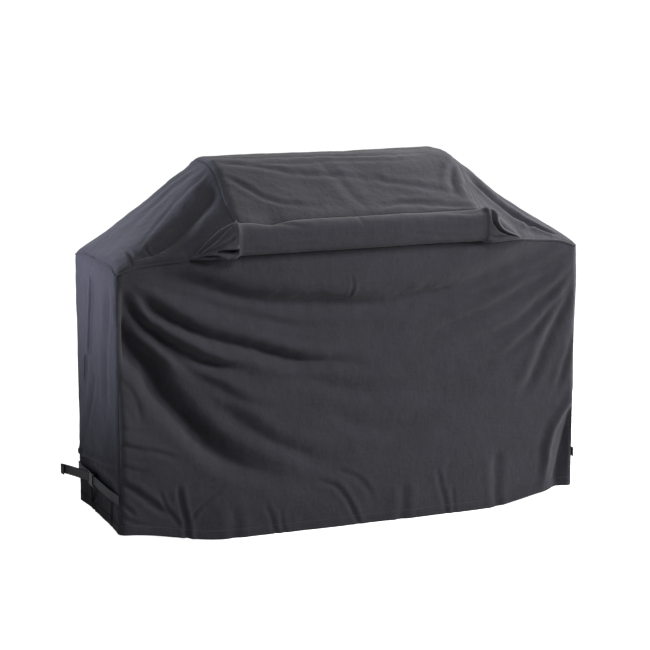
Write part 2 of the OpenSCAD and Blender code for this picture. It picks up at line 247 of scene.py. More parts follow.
def round_end(distance, half, radius):
    """Bends a panel's end round a corner: the place along the panel, and how far it turns back there."""
    turn = np.clip((np.abs(distance) - half + radius) / radius, 0, math.pi / 2)
    along = np.where(turn > 0, half - radius * (1 - np.sin(turn)), np.abs(distance))
    return np.sign(distance) * along, radius * (1 - np.cos(turn))


def front_rest(a, z):
    """The smooth shape of the front: pushed out above the edge of the control panel, flared at the hem."""
    x, back = round_end(a, half_w, corner_round)
    panel_edge = 0.70 + 0.32 * x * x
    push = front_push * under_hood(x) * ease((z - panel_edge + 0.025) / 0.085)
    hang = flare(x) * (1 - ease((z - hem_rise - hem_h) / hang_h))
    return points_of(x, back - half_d - push - hang, z)


def smooth_route(route):
    """A smooth line through a few given points."""
    route = np.array(route, float)
    at = np.linspace(0, len(route) - 1, 6 * (len(route) - 1) + 1)
    line = np.stack([np.interp(at, range(len(route)), route[:, k]) for k in (0, 1)], axis=1)
    for _ in range(6):
        line[1:-1] = (line[:-2] + 2 * line[1:-1] + line[2:]) / 4
    return line


wander = 0.005
tremble = 0.0010
lip_place = 1.1
fade_in = 0.2
fade_out = 0.3
crinkle_sets = 9
crinkle_depth = 0.006
set_turn = 2.4


def unsteady(a, b):
    """No crease runs true: a place in the cloth, moved to and fro by a slow wander and a quick tremble."""
    across = a + wander * np.sin(23 * b + 2 * np.sin(13 * a)) + tremble * np.sin(83 * b + 47 * a)
    along = b + wander * np.sin(19 * a + 2 * np.sin(17 * b + 1)) + tremble * np.sin(91 * a - 39 * b)
    return across, along


def relief(a, b, folds):
    """How far folds push the cloth out at (a, b). Each is (route, width, depth, left lip, right lip): a
    valley along the route, with a lip about a width away on each side, faded out at both ends."""
    spots = np.stack(unsteady(a, b), axis=1)
    out = np.zeros(len(spots))
    for route, width, depth, left_lip, right_lip in folds:
        line = smooth_route(route)
        reach = 3 * width
        near = np.all((spots > line.min(0) - reach) & (spots < line.max(0) + reach), axis=1)
        if not near.any():
            continue
        step = line[1:] - line[:-1]
        gap = spots[near][:, None] - line[:-1]
        share = np.clip((gap * step).sum(2) / (step * step).sum(1), 0, 1)
        miss = gap - share[:, :, None] * step
        far = np.hypot(miss[:, :, 0], miss[:, :, 1])
        best = far.argmin(1)
        row = np.arange(len(best))
        turn = step[best, 0] * gap[row, best, 1] - step[best, 1] * gap[row, best, 0]
        q = np.sign(turn) * far[row, best] / width
        along = (best + share[row, best]) / len(step)
        strength = ease(along / fade_in) * ease((1 - along) / fade_out)
        shape = left_lip * np.exp(-2 * (q - lip_place) ** 2) + right_lip * np.exp(-2 * (q + lip_place) ** 2)
        shape -= np.exp(-1.9 * np.abs(q) ** 1.5)
        out[near] += depth * strength * shape
    return out


def crinkle(a, b):
    """Fine creases left by folding and handling: each set runs its own way, and comes and goes in patches."""
    a, b = unsteady(a, b)
    total = np.zeros_like(a)
    for k in range(1, crinkle_sets + 1):
        pitch = 0.020 + 0.006 * k
        across = 0.6 * a * math.cos(set_turn * k) + b * math.sin(set_turn * k)
        wave = np.sin(2 * math.pi * across / pitch + 1.7 * k)
        patch = np.sin((7 + 1.3 * k) * a + k) * np.sin((9 + 1.1 * k) * b + 2 * k)
        total += pitch * wave * np.clip(patch, 0, 1)
    return crinkle_depth * total


def slack(points, amount):
    """The uneven swell of limp cloth: a broad one, with finer ones on top."""
    swells = ((0.15, 1.0), (0.05, 0.3), (0.02, 0.12))
    return amount * np.array([
        sum(share * noise.noise(Vector(p) / size) for size, share in swells) for p in points
    ])


def drape(rest, folds=(), held=None, amount=0.003):
    """The surface that cloth takes over a smooth shape. rest(a, b) gives the shape, and held(a, b) is 0 where
    a seam holds the cloth to it and 1 where it is free."""

    def surface(a, b, stand_off=0.0):
        a = np.asarray(a, float)
        b = np.asarray(b, float)
        points = rest(a, b)
        tiny = 0.001
        normal = np.cross(rest(a + tiny, b) - rest(a - tiny, b), rest(a, b + tiny) - rest(a, b - tiny))
        normal /= np.maximum(np.linalg.norm(normal, axis=1), 1e-12)[:, None]
        push = relief(a, b, folds) + slack(points, amount) + crinkle(a, b)
        if held is not None:
            push = push * held(a, b)
        return points + normal * (push + stand_off)[:, None]

    return surface


def cut_cloth(name, columns, rows, layout, surface, stand_off=0.0, thickness=cloth_thickness):
    """Cloth as a grid. layout(u, v), each from 0 to 1, gives a point's place (a, b) on the surface."""
    bm = bmesh.new()
    made = bmesh.ops.create_grid(bm, x_segments=columns, y_segments=rows, size=0.5)["verts"]
    u = np.array([v.co.x for v in made]) + 0.5
    v = np.array([v.co.y for v in made]) + 0.5
    a, b = layout(u, v)
    for vert, point in zip(made, surface(a, b, stand_off)):
        vert.co = point
    weave = bm.loops.layers.uv.new("cloth")
    for face in bm.faces:
        face.smooth = True
        for loop in face.loops:
            i = loop.vert.index
            loop[weave].uv = (a[i], b[i])
    bmesh.ops.remove_doubles(bm, verts=bm.verts, dist=1e-6)
    mesh = bpy.data.meshes.new(name)
    bm.to_mesh(mesh)
    bm.free()
    piece = put_in_scene(name, mesh)
    wall = piece.modifiers.new("thickness", "SOLIDIFY")
    wall.thickness = thickness
    wall.offset = -1
    return piece


def bands(pitch):
    """The scale at which a wave texture's bands are so far apart."""
    return math.pi / 10 / pitch


def dress(tree, shader, colour, bump, roughness):
    tree.links.new(colour, shader.inputs["Base Color"])
    tree.links.new(bump, shader.inputs["Normal"])
    shader.inputs["Roughness"].default_value = roughness


def coated_polyester(name, hex_colour):
    """Plain-woven polyester, coated behind: dark and dry, with a faint sheen and uneven yarns that show as
    short streaks both ways. They are drawn coarser than real yarns, which vanish at this distance."""
    material, tree, shader = new_material(name)
    place = add_node(tree, "UVMap", (-1500, -200), {"uv_map": "cloth"})
    body = add_node(tree, "TexCoord", (-1500, 200))

    def streaks(scale_x, scale_y, y):
        scale = (scale_x, scale_y, 1)
        stretched = add_node(tree, "Mapping", (-1280, y), Vector=place.outputs[0], Scale=scale)
        return add_node(tree, "TexNoise", (-1080, y), Vector=stretched.outputs[0], Scale=1.0, Detail=2.0)

    def waves(way, y):
        return add_node(
            tree, "TexWave", (-900, y), {"wave_type": "BANDS", "bands_direction": way},
            Vector=place.outputs[0], Scale=bands(0.0024), Distortion=0.5,
        )

    weft = streaks(14, 250, 700)
    warp = streaks(250, 14, 450)
    patches = add_node(
        tree, "TexNoise", (-1080, 200), Vector=body.outputs["Object"], Scale=6.0, Detail=3.0, Roughness=0.6,
    )
    yarn_tone = add_node(
        tree, "Math", (-860, 560), {"operation": "ADD"}, i0=weft.outputs["Fac"], i1=warp.outputs["Fac"],
    )
    all_tones = add_node(
        tree, "Math", (-660, 400), {"operation": "ADD"}, i0=yarn_tone.outputs[0], i1=patches.outputs["Fac"],
    )
    tone = add_node(tree, "MapRange", (-460, 400), i0=all_tones.outputs[0], i1=1.0, i2=2.0, i3=0.72, i4=1.28)
    shaded = add_node(
        tree, "MixRGB", (-240, 300), {"blend_type": "MULTIPLY"},
        i0=1.0, i1=linear(hex_colour), i2=tone.outputs[0],
    )
    yarns = add_node(
        tree, "Math", (-680, -240), {"operation": "MULTIPLY"},
        i0=waves("X", -100).outputs["Fac"], i1=waves("Y", -400).outputs["Fac"],
    )
    crumple = add_node(
        tree, "TexNoise", (-900, -700), Vector=body.outputs["Object"], Scale=38.0, Detail=5.0, Roughness=0.6,
    )
    creased = add_node(
        tree, "Bump", (-460, -600), Strength=0.6, Distance=0.005, Height=crumple.outputs["Fac"],
    )
    woven = add_node(
        tree, "Bump", (-240, -400), Strength=0.4, Distance=0.0005,
        Height=yarns.outputs[0], Normal=creased.outputs[0],
    )
    dress(tree, shader, shaded.outputs[0], woven.outputs[0], 0.92)
    shader.inputs["Specular IOR Level"].default_value = 0.25
    shader.inputs["Sheen Weight"].default_value = 0.06
    shader.inputs["Sheen Roughness"].default_value = 0.5
    return material


cover_cloth = coated_polyester("coated_woven_polyester", "#1e1d23")


def sew_in(piece, node, material, body="cover"):
    """Gives a piece of cloth its material, fixes it to a body and hides the CAD piece that it stands in for.
    """
    piece.data.materials.append(material)
    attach(piece, body)
    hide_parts(node)
    return piece


def columns_across(foot_x):
    """Across the width: where the columns of cells lie, so that neighbouring panels meet point to point."""
    end = half_w - turn_of(corner_round)
    stops = [-end, -foot_x, -hood_x, hood_x, foot_x, end]
    counts = [round((stops[i + 1] - stops[i]) / cell) for i in range(5)]
    shares = np.concatenate([[0], np.cumsum(counts)]) / sum(counts)
    return sum(counts), lambda u: np.interp(u, shares, stops)


def seam_hold(*distances):
    """0 at a seam, 1 where the cloth is free of it."""
    return np.prod([ease(d / seam_reach) for d in distances], axis=0)


def panel_held(half, top):
    """Held by the seams at its two ends and along its top."""
    return lambda a, z: seam_hold(half - np.abs(a), top(a) - z)


def panel_layout(across, foot, top):
    """From just inside the hem, whose foot is at foot(a), up to the panel's top edge."""
    return lambda u, v: (across(u), mix(foot(across(u)) + hem_h - hem_lap, top(across(u)), v))


front_folds = [
    # under the control panel, from corner to corner
    ([(-0.76, 0.83), (-0.62, 0.80), (-0.50, 0.765), (-0.35, 0.725), (-0.20, 0.70), (-0.04, 0.685),
      (0.13, 0.685), (0.33, 0.705), (0.56, 0.775), (0.75, 0.83)], 0.04, 0.014, 0.2, 0.35),
    # the dent over a knob
    ([(-0.04, 0.79), (-0.032, 0.755), (-0.03, 0.70)], 0.007, 0.003, 0.9, 0.5),
    # drag folds from the left corner: a broad one, and the creases in it
    ([(-0.78, 0.80), (-0.66, 0.52), (-0.48, 0.30), (-0.22, 0.18)], 0.15, 0.034, 0.2, 0.3),
    ([(-0.77, 0.84), (-0.64, 0.71), (-0.53, 0.645), (-0.41, 0.595), (-0.27, 0.545), (-0.11, 0.51),
      (0.10, 0.49)], 0.032, 0.027, 0.5, 0.3),
    ([(-0.77, 0.82), (-0.70, 0.69), (-0.61, 0.605), (-0.54, 0.565), (-0.43, 0.52), (-0.30, 0.49)],
     0.034, 0.025, 0.5, 0.4),
    ([(-0.775, 0.79), (-0.745, 0.66), (-0.70, 0.58), (-0.64, 0.49), (-0.58, 0.41), (-0.52, 0.335),
      (-0.46, 0.27), (-0.34, 0.195), (-0.15, 0.15)], 0.046, 0.034, 0.55, 0.35),
    ([(-0.77, 0.80), (-0.66, 0.64), (-0.52, 0.50), (-0.38, 0.42), (-0.20, 0.36)], 0.024, 0.007, 0.6, 0.4),
    ([(-0.77, 0.84), (-0.60, 0.76), (-0.42, 0.69), (-0.22, 0.64), (0.05, 0.61)], 0.026, 0.007, 0.6, 0.4),
    # the sag in the middle
    ([(-0.25, 0.49), (-0.07, 0.435), (0.06, 0.41), (0.22, 0.42)], 0.04, 0.007, 0.5, 0.4),
    ([(-0.46, 0.42), (-0.33, 0.32), (-0.22, 0.25), (-0.02, 0.19)], 0.038, 0.01, 0.6, 0.3),
    ([(-0.10, 0.34), (0.08, 0.29), (0.28, 0.31)], 0.045, 0.006, 0.5, 0.4),
    # drag folds from the right corner
    ([(0.775, 0.83), (0.57, 0.735), (0.39, 0.685), (0.18, 0.645)], 0.022, 0.008, 0.4, 0.6),
    ([(0.775, 0.81), (0.57, 0.695), (0.38, 0.61), (0.22, 0.57)], 0.024, 0.008, 0.4, 0.6),
    ([(0.775, 0.79), (0.64, 0.66), (0.51, 0.57), (0.32, 0.53)], 0.024, 0.009, 0.4, 0.6),
    ([(0.775, 0.78), (0.68, 0.63), (0.58, 0.53), (0.46, 0.47)], 0.022, 0.007, 0.4, 0.6),
    ([(0.775, 0.76), (0.69, 0.58), (0.61, 0.43), (0.55, 0.34)], 0.026, 0.01, 0.4, 0.6),
    ([(0.77, 0.60), (0.72, 0.46), (0.69, 0.34)], 0.02, 0.006, 0.4, 0.5),
    # the lower right corner turns back behind a ridge
    ([(0.78, 0.38), (0.70, 0.26), (0.655, 0.18), (0.645, 0.02)], 0.02, -0.01, 0.3, 0.4),
    ([(0.79, 0.32), (0.72, 0.19), (0.70, -0.04)], 0.044, 0.03, 0.3, 0.2),
    # short creases where the corner seam hangs on the strap
    ([(-0.78, 0.52), (-0.73, 0.485), (-0.69, 0.43), (-0.68, 0.37)], 0.014, 0.003, 0.7, 0.3),
    ([(-0.78, 0.45), (-0.74, 0.43), (-0.70, 0.385)], 0.01, 0.002, 0.7, 0.3),
    ([(-0.78, 0.38), (-0.73, 0.36), (-0.66, 0.35)], 0.011, 0.0035, 0.7, 0.3),
    ([(-0.78, 0.33), (-0.71, 0.295), (-0.63, 0.28), (-0.57, 0.25)], 0.014, 0.0065, 0.7, 0.3),
    ([(-0.78, 0.27), (-0.73, 0.24), (-0.66, 0.215)], 0.011, 0.004, 0.7, 0.3),
    ([(-0.78, 0.22), (-0.71, 0.165), (-0.65, 0.125), (-0.59, 0.085)], 0.016, 0.008, 0.7, 0.3),
    ([(-0.78, 0.16), (-0.74, 0.12), (-0.70, 0.09)], 0.01, 0.005, 0.7, 0.3),
    ([(-0.78, 0.10), (-0.72, 0.08), (-0.66, 0.065)], 0.01, 0.004, 0.7, 0.3),
    # the hem drawn together at the left
    ([(-0.58, 0.19), (-0.566, 0.12), (-0.558, 0.05), (-0.56, -0.10)], 0.013, 0.008, 0.7, 0.4),
    ([(-0.64, 0.17), (-0.60, 0.09), (-0.565, 0.03)], 0.009, 0.005, 0.6, 0.3),
    ([(-0.44, 0.17), (-0.51, 0.11), (-0.555, 0.05)], 0.009, 0.004, 0.6, 0.3),
    # bunches along the rest of the hem
    ([(-0.315, 0.10), (-0.285, 0.055), (-0.265, -0.04)], 0.012, 0.0035, 0.7, 0.4),
    ([(-0.255, 0.08), (-0.255, 0.04), (-0.24, -0.04)], 0.01, 0.0025, 0.6, 0.4),
    ([(-0.15, 0.16), (-0.07, 0.125), (-0.02, 0.06), (0.01, -0.05)], 0.014, 0.0055, 0.8, 0.4),
    ([(-0.08, 0.18), (0.01, 0.135), (0.05, 0.08)], 0.013, 0.004, 0.6, 0.4),
    ([(0.26, 0.15), (0.285, 0.09), (0.295, -0.05)], 0.013, 0.0035, 0.7, 0.4),
    ([(0.32, 0.10), (0.315, 0.05), (0.32, -0.04)], 0.01, 0.0025, 0.5, 0.5),
    ([(-0.42, 0.10), (-0.40, 0.04), (-0.405, -0.06)], 0.026, 0.004, 0.5, 0.5),
    ([(0.14, 0.12), (0.15, 0.04), (0.14, -0.06)], 0.025, 0.005, 0.5, 0.5),
    ([(0.47, 0.20), (0.48, 0.08), (0.475, -0.06)], 0.025, 0.006, 0.5, 0.5),
]
front_surface = drape(front_rest, front_folds, panel_held(half_w, front_top))
front_columns, front_x = columns_across(gusset_x)
front_layout = panel_layout(front_x, hem_z, front_top)
front_panel = cut_cloth("front_cloth", front_columns, panel_rows, front_layout, front_surface)
sew_in(front_panel, "front_panel", cover_cloth)

# The rear panel. The same cloth, hanging from the hood's rear edge and the
# shelves' back corners, with looser and more even folds.

foot_share = 0.62


def rear_top(x):
    return mix(shelf_h, rear_edge_h, under_hood(x)) - corner_drop(half_w - np.abs(x), corner_fall)


def rear_rest(a, z):
    """Seen from behind, a runs to the right, which is towards the cover's left end."""
    x, back = round_end(-a, half_w, corner_round)
    push = (rear_reach - half_d) * under_hood(x) * ease((z - 0.60) / 0.28)
    hang = flare(x) * (1 - ease((z - hem_rise - hem_h) / hang_h))
    return points_of(x, half_d - back + push + hang, z)


rear_folds = [
    ([(-0.76, 0.82), (-0.62, 0.68), (-0.46, 0.57), (-0.25, 0.50), (0.0, 0.47)], 0.045, 0.015, 0.5, 0.4),
    ([(-0.76, 0.79), (-0.70, 0.62), (-0.62, 0.47), (-0.50, 0.33), (-0.36, 0.25)], 0.05, 0.018, 0.5, 0.4),
    ([(0.76, 0.82), (0.60, 0.70), (0.42, 0.61), (0.20, 0.56)], 0.045, 0.013, 0.4, 0.5),
    ([(0.76, 0.79), (0.71, 0.60), (0.60, 0.44), (0.46, 0.32), (0.30, 0.26)], 0.05, 0.018, 0.4, 0.5),
    ([(-0.40, 0.88), (-0.34, 0.76), (-0.20, 0.68), (0.05, 0.65)], 0.045, 0.01, 0.5, 0.4),
    ([(0.41, 0.88), (0.33, 0.74), (0.18, 0.67)], 0.045, 0.009, 0.4, 0.5),
    ([(-0.32, 0.46), (-0.29, 0.26), (-0.28, 0.10), (-0.29, -0.10)], 0.042, 0.009, 0.4, 0.4),
    ([(-0.06, 0.50), (-0.02, 0.28), (-0.03, 0.10), (-0.04, -0.10)], 0.048, 0.008, 0.4, 0.4),
    ([(0.20, 0.48), (0.25, 0.26), (0.26, 0.10), (0.25, -0.10)], 0.038, 0.009, 0.4, 0.4),
    ([(0.49, 0.44), (0.53, 0.24), (0.54, 0.10), (0.53, -0.10)], 0.034, 0.008, 0.4, 0.4),
    ([(-0.50, 0.42), (-0.55, 0.24), (-0.56, 0.10), (-0.56, -0.10)], 0.03, 0.009, 0.4, 0.4),
    # short creases where the corner seams hang on the straps
    ([(-0.79, 0.33), (-0.72, 0.28), (-0.62, 0.25), (-0.50, 0.25)], 0.014, 0.004, 0.5, 0.3),
    ([(-0.79, 0.24), (-0.71, 0.17), (-0.62, 0.12), (-0.52, 0.09)], 0.015, 0.005, 0.5, 0.3),
    ([(0.79, 0.33), (0.71, 0.27), (0.62, 0.24), (0.51, 0.24)], 0.014, 0.004, 0.3, 0.5),
    ([(0.79, 0.23), (0.71, 0.17), (0.62, 0.11), (0.51, 0.08)], 0.015, 0.005, 0.3, 0.5),
]
rear_surface = drape(rear_rest, rear_folds, panel_held(half_w, rear_top))
rear_columns, rear_x = columns_across(mix(half_w, hood_x, foot_share))
rear_layout = panel_layout(rear_x, hem_z, rear_top)
rear_panel = cut_cloth("rear_cloth", rear_columns, panel_rows, rear_layout, rear_surface)
sew_in(rear_panel, "rear_panel", cover_cloth)

# The two side panels. The same cloth, narrow and nearly flat, hanging from the
# shelf's outer edge. The strap draws them in above the hem, and the cloth
# above the strap hangs over it.

strap_h = 0.148
blouse = 0.020
strap_tuck = 0.006

# the arc in which the cloth bends over the shelf's outer edge
shelf_round = 0.045
shelf_turn = math.radians(32)
shelf_bend = shelf_round * math.tan(shelf_turn)
shelf_lap = shelf_bend - shelf_round * math.sin(shelf_turn)


def side_top(y):
    return shelf_h - shelf_lap - corner_drop(half_d - np.abs(y), corner_fall - shelf_lap)


def shelf_arc(beyond):
    """How far the cloth, which bends over the shelf's edge in an arc, lies inside the sharp corner at a place
    that far beyond it."""
    reach = np.clip(shelf_bend - beyond, 0, shelf_bend)
    return shelf_round - np.sqrt(shelf_round ** 2 - reach ** 2)


def mirrored(right):
    """The left-hand twin of a surface, seen from outside as its mirror image."""
    return lambda a, b, *rest: right(-np.asarray(a, float), b, *rest) * np.array([-1, 1, 1])


def right_side_rest(y, z):
    lean = 0.02 * (y + 0.05)
    over = ease((z - strap_h - 0.03 + lean) / 0.05) * (1 - ease((z - strap_h - 0.09) / 0.18))
    tuck = 1 - ease((z - strap_h - 0.02) / 0.04)
    out = plateau(y, half_d - 0.11, 0.1) * (blouse * over - strap_tuck * tuck)
    top = side_top(y) + shelf_lap
    inside = shelf_arc(top - z) * ease((half_d - np.abs(y)) / 0.07)
    y, back = round_end(y, half_d, corner_round)
    return points_of(half_w - back + out - inside, y, z)


right_side_folds = [
    ([(-0.20, 0.80), (-0.15, 0.66), (-0.12, 0.52), (-0.13, 0.40)], 0.028, 0.008, 0.5, 0.4),
    ([(0.10, 0.83), (0.06, 0.66), (0.05, 0.48)], 0.035, 0.009, 0.4, 0.5),
    ([(0.22, 0.78), (0.17, 0.60), (0.15, 0.45), (0.16, 0.33)], 0.026, 0.009, 0.4, 0.4),
    ([(-0.22, 0.24), (-0.10, 0.205), (0.03, 0.19), (0.21, 0.20)], 0.016, 0.012, 0.7, 0.2),
    ([(-0.04, 0.36), (-0.06, 0.25), (-0.03, 0.16)], 0.018, 0.003, 0.4, 0.4),
    ([(-0.14, 0.13), (-0.10, 0.09), (-0.11, 0.02)], 0.014, 0.007, 0.5, 0.4),
    ([(0.05, 0.13), (0.07, 0.08), (0.06, 0.0)], 0.016, 0.007, 0.5, 0.4),
    ([(0.17, 0.14), (0.14, 0.09), (0.15, 0.02)], 0.013, 0.006, 0.4, 0.4),
]
left_side_folds = [
    # the long narrow crease near the rear, and the pinch where it ends
    ([(-0.045, 0.80), (-0.036, 0.74), (-0.045, 0.66), (-0.075, 0.56), (-0.10, 0.50)], 0.014, 0.008, 0.6, 0.4),
    ([(-0.118, 0.53), (-0.114, 0.47), (-0.12, 0.42)], 0.01, 0.01, 0.5, 0.4),
    ([(-0.02, 0.50), (-0.05, 0.40), (-0.08, 0.30)], 0.03, 0.006, 0.4, 0.4),
    ([(0.17, 0.80), (0.12, 0.66), (0.10, 0.50), (0.11, 0.36)], 0.04, 0.007, 0.5, 0.4),
    # the slack that hangs over the strap
    ([(-0.22, 0.20), (-0.12, 0.20), (0.0, 0.205), (0.10, 0.225), (0.22, 0.25)], 0.016, 0.014, 0.7, 0.2),
    ([(-0.19, 0.27), (-0.13, 0.235), (-0.06, 0.222)], 0.012, 0.006, 0.5, 0.3),
    # knots and creases below the strap
    ([(-0.11, 0.13), (-0.08, 0.085), (-0.075, 0.03)], 0.014, 0.01, 0.5, 0.4),
    ([(0.03, 0.15), (0.09, 0.128), (0.14, 0.125)], 0.012, 0.008, 0.5, 0.3),
    ([(-0.02, 0.12), (-0.06, 0.08), (-0.10, 0.065)], 0.011, 0.007, 0.5, 0.3),
    ([(0.16, 0.16), (0.12, 0.10), (0.13, 0.03)], 0.014, 0.008, 0.4, 0.4),
]
side_columns = 112
side_end = half_d - turn_of(corner_round)
side_held = panel_held(half_d, side_top)
right_side_surface = drape(right_side_rest, right_side_folds, side_held)
left_side_surface = drape(mirrored(right_side_rest), left_side_folds, side_held)


def side_y(u):
    return mix(-side_end, side_end, u)


def side_foot(a):
    return hem_rise


side_layout = panel_layout(side_y, side_foot, side_top)
for side, surface in (("right", right_side_surface), ("left", left_side_surface)):
    panel = cut_cloth(f"{side}_side_cloth", side_columns, panel_rows, side_layout, surface)
    sew_in(panel, f"{side}_side_panel", cover_cloth)

# The hood panel and the handle pocket. The hood lies over the lid, flat on top
# and sloping to the front and rear. The pocket is a strip sewn under it, which
# bulges over the lid's handle; the hood overhangs the seam between them.

crown_front = -0.050
crown_rear = 0.150
crease = (-0.249, 0.958)
ridge_round = 0.040
pocket_end_round = 0.026


def rounded(a, b, c, cut):
    """The points that round the corner b of a path a-b-c."""
    a, b, c = (np.array(p, float) for p in (a, b, c))
    start = b + (a - b) / np.linalg.norm(a - b) * cut
    end = b + (c - b) / np.linalg.norm(c - b) * cut
    t = np.linspace(0, 1, 9)[:, None]
    return start * (1 - t) ** 2 + 2 * b * t * (1 - t) + end * t * t


class Path:
    """A line of [y, z] points, seen from the end. It gives the point at a distance along it, or one that lies
    a depth behind that point."""

    def __init__(self, *stretches):
        self.line = np.vstack([np.atleast_2d(s) for s in stretches])
        gaps = np.linalg.norm(np.diff(self.line, axis=0), axis=1)
        self.at = np.concatenate([[0], np.cumsum(gaps)])
        self.length = self.at[-1]

    def point(self, distance):
        return np.stack([np.interp(distance, self.at, self.line[:, k]) for k in (0, 1)], axis=-1)

    def behind(self, distance, depth):
        step = self.point(distance + 0.010) - self.point(distance - 0.010)
        step /= np.linalg.norm(step, axis=-1)[..., None]
        normal = np.stack([-step[..., 1], step[..., 0]], axis=-1)
        return self.point(distance) - normal * np.asarray(depth)[..., None]


hood_corners = [crease, (crown_front, crown_h), (crown_rear, crown_h),
                (rear_reach, rear_edge_h + 0.06), (rear_reach, rear_edge_h)]
hood_path = Path(
    hood_corners[0], rounded(*hood_corners[0:3], 0.07), rounded(*hood_corners[1:4], 0.07),
    rounded(*hood_corners[2:5], 0.03), hood_corners[4],
)
foot_y = half_d + front_push
pocket_corners = [(-foot_y, pocket_foot_h), (-pocket_reach, pocket_foot_h + 0.001),
                  (-pocket_reach - 0.003, 0.967), crease]
pocket_path = Path(
    pocket_corners[0], rounded(*pocket_corners[0:3], 0.032),
    rounded(*pocket_corners[1:4], 0.046), pocket_corners[3],
)


def crease_dip(x):
    """How far the seam over the pocket sags below its even height."""
    uneven = [noise.noise(Vector((value / 0.09, 4, 0))) for value in np.ravel(x)]
    return 0.011 * np.exp(-(((x + 0.29) / 0.05) ** 2)) + 0.003 * np.array(uneven).reshape(np.shape(x))


def hood_rest(a, b):
    """The hood. Its ends bend down to the shoulders, and its front edge rolls over the pocket's seam."""
    x, back = round_end(a, hood_x, ridge_round)
    point = hood_path.behind(b, back)
    low = 1 - ease(b / 0.07)
    roll = (0.005 + 0.003 * ease((x + 0.1) / 0.4)) * np.sin(math.pi * np.clip(b / 0.045, 0, 1))
    return points_of(x, point[..., 0] - roll, point[..., 1] - 0.4 * roll - crease_dip(x) * low)


def pocket_round(b):
    """The pocket's ends are rounded less than the hood's, and the same where the two meet."""
    return mix(pocket_end_round, ridge_round, ease((b - pocket_path.length) / 0.05 + 1))


def pocket_rest(a, b):
    x, back = round_end(a, hood_x, pocket_round(b))
    middle = pocket_path.point(b)
    hood_turn = hood_path.behind(0 * back, back) - hood_path.point(0)
    meeting = ease((b - pocket_path.length) / 0.03 + 1)[..., None]
    point = middle + mix(pocket_path.behind(b, -back) - middle, hood_turn, meeting)
    high = ease(b / pocket_path.length * 2 - 1)
    return points_of(x, point[..., 0] + 0 * x, point[..., 1] - crease_dip(x) * high)


hood_folds = [
    ([(-0.43, 0.28), (-0.25, 0.22), (-0.05, 0.17), (0.12, 0.15)], 0.018, 0.0035, 0.6, 0.4),
    ([(-0.40, 0.21), (-0.31, 0.12), (-0.22, 0.06), (-0.10, 0.04)], 0.016, 0.004, 0.6, 0.4),
    ([(-0.07, 0.25), (-0.03, 0.16), (0.01, 0.08), (0.05, 0.0)], 0.026, 0.0022, 0.5, 0.6),
    ([(0.05, 0.03), (0.18, 0.045), (0.30, 0.035), (0.44, 0.01)], 0.014, 0.005, 0.5, 0.4),
    ([(-0.43, 0.33), (-0.15, 0.295), (0.10, 0.275), (0.40, 0.265)], 0.02, 0.003, 0.5, 0.5),
    ([(-0.43, 0.25), (-0.20, 0.245), (0.10, 0.235), (0.40, 0.24)], 0.016, 0.002, 0.5, 0.5),
    ([(0.06, 0.17), (0.20, 0.11), (0.38, 0.075)], 0.02, 0.003, 0.5, 0.4),
    ([(0.43, 0.26), (0.36, 0.16), (0.33, 0.05)], 0.018, 0.004, 0.5, 0.5),
    ([(0.44, 0.20), (0.39, 0.11), (0.38, 0.02)], 0.014, 0.003, 0.5, 0.5),
    ([(-0.36, 0.47), (-0.10, 0.52), (0.2, 0.49)], 0.04, 0.006, 0.4, 0.4),
    ([(-0.39, 0.58), (-0.2, 0.63), (0.1, 0.65), (0.36, 0.60)], 0.04, 0.008, 0.4, 0.4),
]
pocket_folds = [
    ([(-0.03, 0.16), (-0.02, 0.125), (0.00, 0.10)], 0.01, 0.0018, 0.6, 0.5),
    ([(-0.43, 0.052), (-0.30, 0.046), (-0.14, 0.05)], 0.009, 0.0025, 0.6, 0.4),
    ([(-0.30, 0.16), (-0.25, 0.12), (-0.16, 0.10)], 0.014, 0.003, 0.5, 0.4),
    ([(0.12, 0.06), (0.27, 0.052), (0.43, 0.058)], 0.01, 0.0025, 0.5, 0.4),
    ([(0.43, 0.13), (0.33, 0.12), (0.24, 0.13)], 0.012, 0.003, 0.5, 0.4),
]


def hood_held(a, b):
    return seam_hold(hood_x - turn_of(ridge_round) - np.abs(a), hood_path.length - b, b)


def pocket_held(a, b):
    return seam_hold(hood_x - np.abs(a), b, pocket_path.length - b)


hood_surface = drape(hood_rest, hood_folds, hood_held, 0.003)
pocket_surface = drape(pocket_rest, pocket_folds, pocket_held, 0.0018)
hood_columns = round(2 * hood_x / cell)


def hood_layout(u, v):
    end = hood_x - turn_of(ridge_round)
    return mix(-end, end, u), mix(0, hood_path.length - 0.001, v)


def pocket_layout(u, v):
    b = mix(0.001, pocket_path.length, v)
    end = hood_x - turn_of(pocket_round(b))
    return mix(-end, end, u), b


hood_panel = cut_cloth("hood_cloth", hood_columns, 112, hood_layout, hood_surface)
sew_in(hood_panel, "hood_panel", cover_cloth)
handle_pocket = cut_cloth("pocket_cloth", hood_columns, 36, pocket_layout, pocket_surface)
sew_in(handle_pocket, "handle_pocket", cover_cloth)

# The shoulders and the pocket's gussets. Each shoulder is one piece of cloth
# that slopes from the shelf's edge to the hood and sags between them; each
# gusset closes one end of the pocket, and its spare cloth is gathered there.

shoulder_w = 0.58
shoulder_l = 0.44
shoulder_sag = 0.008
gusset_foot = front_rest(gusset_x, front_top(gusset_x))


def spread(t):
    """The cloth is pulled straight from the crown's corners to the shelf's, so most of the shelf's edge
    belongs to the lines that start on the crown."""
    return 0.9 * ease((t - 0.22) / 0.56) + 0.1 * t


def shelf_edge(t):
    a = mix(-side_end, side_end, t)
    return right_side_rest(a, side_top(a))


def hood_edge(t):
    return hood_rest(hood_x - turn_of(ridge_round), np.asarray(t) * hood_path.length)


